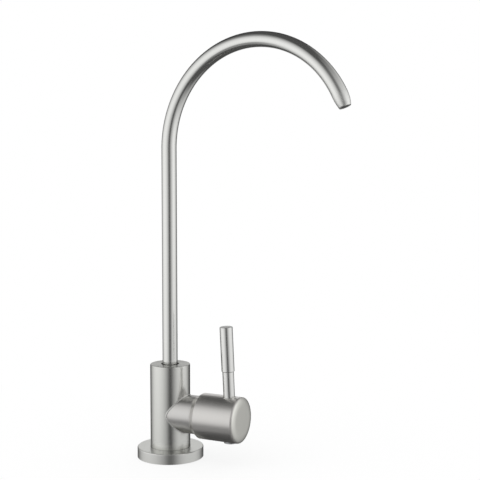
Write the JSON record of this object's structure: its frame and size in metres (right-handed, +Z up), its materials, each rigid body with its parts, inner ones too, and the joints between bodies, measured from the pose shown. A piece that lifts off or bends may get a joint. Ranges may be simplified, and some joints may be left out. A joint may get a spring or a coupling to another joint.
{
  "type": "drinking water filter tap",
  "caption": "Deck-mounted gooseneck drinking water tap in brushed steel, with a swivelling spout, a side ceramic-disc valve and an upright lever.",
  "frame": {"origin": "on the column's axis at the worktop, which is the underside of the base gasket", "axes": "+Z up along the column and shank, +X along the valve, with the resting spout swung a few degrees from it towards -Y, -Y towards the side that the lever is pulled to"},
  "size_m": [0.1768, 0.0508, 0.3767],
  "materials": {
    "satin_steel": "satin brushed stainless steel",
    "plain_steel": "plain machined steel",
    "black_rubber": "matt",
    "turned_brass": "turned",
    "white_ceramic": "lapped",
    "black_plastic": "moulded"
  },
  "bodies": {
    "body": {"base_flange": "satin_steel", "base_gasket": "black_rubber", "body_column": "satin_steel", "valve_branch": "satin_steel", "spout_bush": "black_plastic", "spout_circlip": "plain_steel", "cartridge_body": "turned_brass", "cartridge_seal": "black_rubber", "cartridge_o_ring": "black_rubber", "fixed_disc": "white_ceramic", "cartridge_nut": "turned_brass", "threaded_shank": "plain_steel", "shank_seal": "black_rubber", "rubber_washer": "black_rubber", "steel_washer": "plain_steel", "spring_washer": "plain_steel", "mounting_nut": "plain_steel"},
    "spout": {"spout_tube": "satin_steel", "spout_tail": "turned_brass", "spout_o_rings": "black_rubber"},
    "handle": {"handle_hub": "satin_steel", "hub_grub_screw": "plain_steel", "lever": "satin_steel", "lever_screw": "plain_steel", "cartridge_stem": "turned_brass", "moving_disc": "white_ceramic", "stem_o_ring": "black_rubber", "stem_clip": "plain_steel"}
  },
  "joints": [
    {"name": "spout_swivel", "type": "hinge", "parent": "body", "child": "spout", "pos_m": [0, 0, 0.0545], "axis": [0, 0, 1], "continuous": true},
    {"name": "handle_turn", "type": "hinge", "parent": "body", "child": "handle", "pos_m": [0.02, 0, 0.0345], "axis": [1, 0, 0], "range_deg": [0, 90]}
  ]
}
